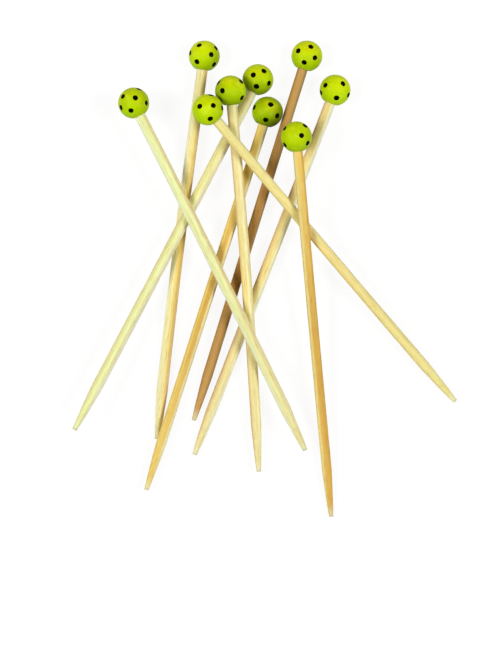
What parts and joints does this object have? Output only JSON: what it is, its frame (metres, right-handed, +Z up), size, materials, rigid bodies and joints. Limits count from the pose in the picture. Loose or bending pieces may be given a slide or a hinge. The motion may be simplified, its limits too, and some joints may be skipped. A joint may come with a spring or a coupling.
{
  "type": "ball-ended bamboo cocktail pick set",
  "caption": "Crossed heap of loose bamboo cocktail picks, each a split stick with a drawn point and a spotted painted wooden bead glued on its blunt end.",
  "frame": {"origin": "middle of the heap's footprint, on the surface that the picks lie on", "axes": "+Y the way the beads lie, along the heap's length; +X across the heap; +Z up from the surface"},
  "size_m": [0.124, 0.1538, 0.0219],
  "materials": {
    "bamboo_pale": "bare split bamboo, pale greenish yellow",
    "bamboo_cream": "bare split bamboo, cream",
    "bamboo_golden": "bare split bamboo, warm gold",
    "bamboo_brown": "bare split bamboo, light brown",
    "bead_paint": "wooden bead in lime green paint with printed black spots, half gloss",
    "glue": "cured wood glue"
  },
  "bodies": {
    "pick_1": {"stick_1": "bamboo_pale", "bead_1": "bead_paint", "glue_1": "glue"},
    "pick_2": {"stick_2": "bamboo_cream", "bead_2": "bead_paint", "glue_2": "glue"},
    "pick_3": {"stick_3": "bamboo_cream", "bead_3": "bead_paint", "glue_3": "glue"},
    "pick_4": {"stick_4": "bamboo_pale", "bead_4": "bead_paint", "glue_4": "glue"},
    "pick_5": {"stick_5": "bamboo_pale", "bead_5": "bead_paint", "glue_5": "glue"},
    "pick_6": {"stick_6": "bamboo_golden", "bead_6": "bead_paint", "glue_6": "glue"},
    "pick_7": {"stick_7": "bamboo_brown", "bead_7": "bead_paint", "glue_7": "glue"},
    "pick_8": {"stick_8": "bamboo_cream", "bead_8": "bead_paint", "glue_8": "glue"},
    "pick_9": {"stick_9": "bamboo_golden", "bead_9": "bead_paint", "glue_9": "glue"}
  },
  "joints": [
    {"name": "lift_5", "type": "slide", "parent": "pick_2", "child": "pick_5", "axis": [0, 0, 1], "range_m": [0, 0.03]},
    {"name": "lift_8", "type": "slide", "parent": "pick_5", "child": "pick_8", "axis": [0, 0, 1], "range_m": [0, 0.03]},
    {"name": "lift_7", "type": "slide", "parent": "pick_8", "child": "pick_7", "axis": [0, 0, 1], "range_m": [0, 0.03]},
    {"name": "lift_6", "type": "slide", "parent": "pick_7", "child": "pick_6", "axis": [0, 0, 1], "range_m": [0, 0.03]},
    {"name": "lift_3", "type": "slide", "parent": "pick_6", "child": "pick_3", "axis": [0, 0, 1], "range_m": [0, 0.03]},
    {"name": "lift_4", "type": "slide", "parent": "pick_3", "child": "pick_4", "axis": [0, 0, 1], "range_m": [0, 0.03]},
    {"name": "lift_9", "type": "slide", "parent": "pick_4", "child": "pick_9", "axis": [0, 0, 1], "range_m": [0, 0.03]},
    {"name": "lift_1", "type": "slide", "parent": "pick_3", "child": "pick_1", "axis": [0, 0, 1], "range_m": [0, 0.03]}
  ]
}
